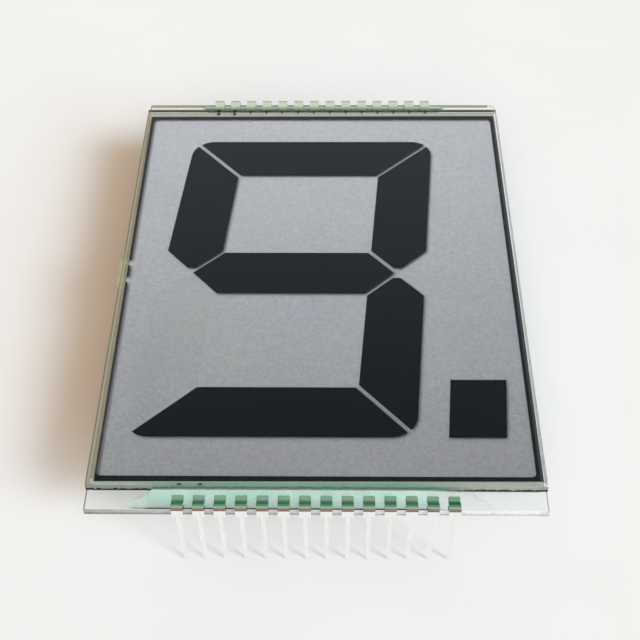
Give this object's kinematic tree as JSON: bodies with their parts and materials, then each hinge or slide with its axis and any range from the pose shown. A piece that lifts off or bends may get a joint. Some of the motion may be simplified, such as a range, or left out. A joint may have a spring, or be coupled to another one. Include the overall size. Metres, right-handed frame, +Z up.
{
  "type": "segment lcd display",
  "caption": "Flat reflective segment LCD panel with a large slanted digit and decimal point, standing on rows of clip-on pins glued along its glass ledges.",
  "frame": {"origin": "on the surface it stands on, under the middle of the glass", "axes": "+Z up out of the viewing face, +Y along the digit's height towards its top, +X to the right of a reader"},
  "size_m": [0.0562, 0.0768, 0.0123],
  "materials": {
    "front_film": "neutral grey polarizer film, smooth",
    "glass": "clear soda-lime sheet with scribed and broken edges",
    "clear_electrode": "clear conductive coating",
    "driven_segment": "dark where the driven cell blocks the light",
    "liquid_crystal": "clear fluid",
    "seal": "epoxy frame, black between the crossed films",
    "tracks": "thin conductive coating",
    "transfer_dot": "conductive epoxy",
    "rear_film": "grey polarizer film",
    "reflector": "matt reflector foil",
    "plug_glue": "yellowish cured glue",
    "bead_glue": "clear mint-green cured glue, wet look",
    "pin_metal": "bright tinned strip"
  },
  "bodies": {
    "root": {"front_polarizer": "front_film", "front_glass": "glass", "common_electrode": "clear_electrode", "liquid_crystal": "liquid_crystal", "perimeter_seal": "seal", "segment_a": "driven_segment", "segment_b": "driven_segment", "segment_c": "driven_segment", "segment_d": "driven_segment", "segment_e": "clear_electrode", "segment_f": "driven_segment", "segment_g": "driven_segment", "decimal_point": "driven_segment", "front_tracks": "tracks", "rear_tracks": "tracks", "transfer_dot_1": "transfer_dot", "transfer_dot_2": "transfer_dot", "transfer_dot_3": "transfer_dot", "transfer_dot_4": "transfer_dot", "rear_glass": "glass", "rear_polarizer": "rear_film", "reflector": "reflector", "fill_port_plug": "plug_glue", "front_glue": "bead_glue", "rear_glue": "bead_glue", "front_pin_1": "pin_metal", "front_pin_2": "pin_metal", "front_pin_3": "pin_metal", "front_pin_4": "pin_metal", "front_pin_5": "pin_metal", "front_pin_6": "pin_metal", "front_pin_7": "pin_metal", "front_pin_8": "pin_metal", "front_pin_9": "pin_metal", "front_pin_10": "pin_metal", "front_pin_11": "pin_metal", "front_pin_12": "pin_metal", "front_pin_13": "pin_metal", "front_pin_14": "pin_metal", "rear_pin_1": "pin_metal", "rear_pin_2": "pin_metal", "rear_pin_3": "pin_metal", "rear_pin_4": "pin_metal", "rear_pin_5": "pin_metal", "rear_pin_6": "pin_metal", "rear_pin_7": "pin_metal", "rear_pin_8": "pin_metal", "rear_pin_9": "pin_metal", "rear_pin_10": "pin_metal", "rear_pin_11": "pin_metal", "rear_pin_12": "pin_metal", "rear_pin_13": "pin_metal", "rear_pin_14": "pin_metal"}
  },
  "joints": []
}
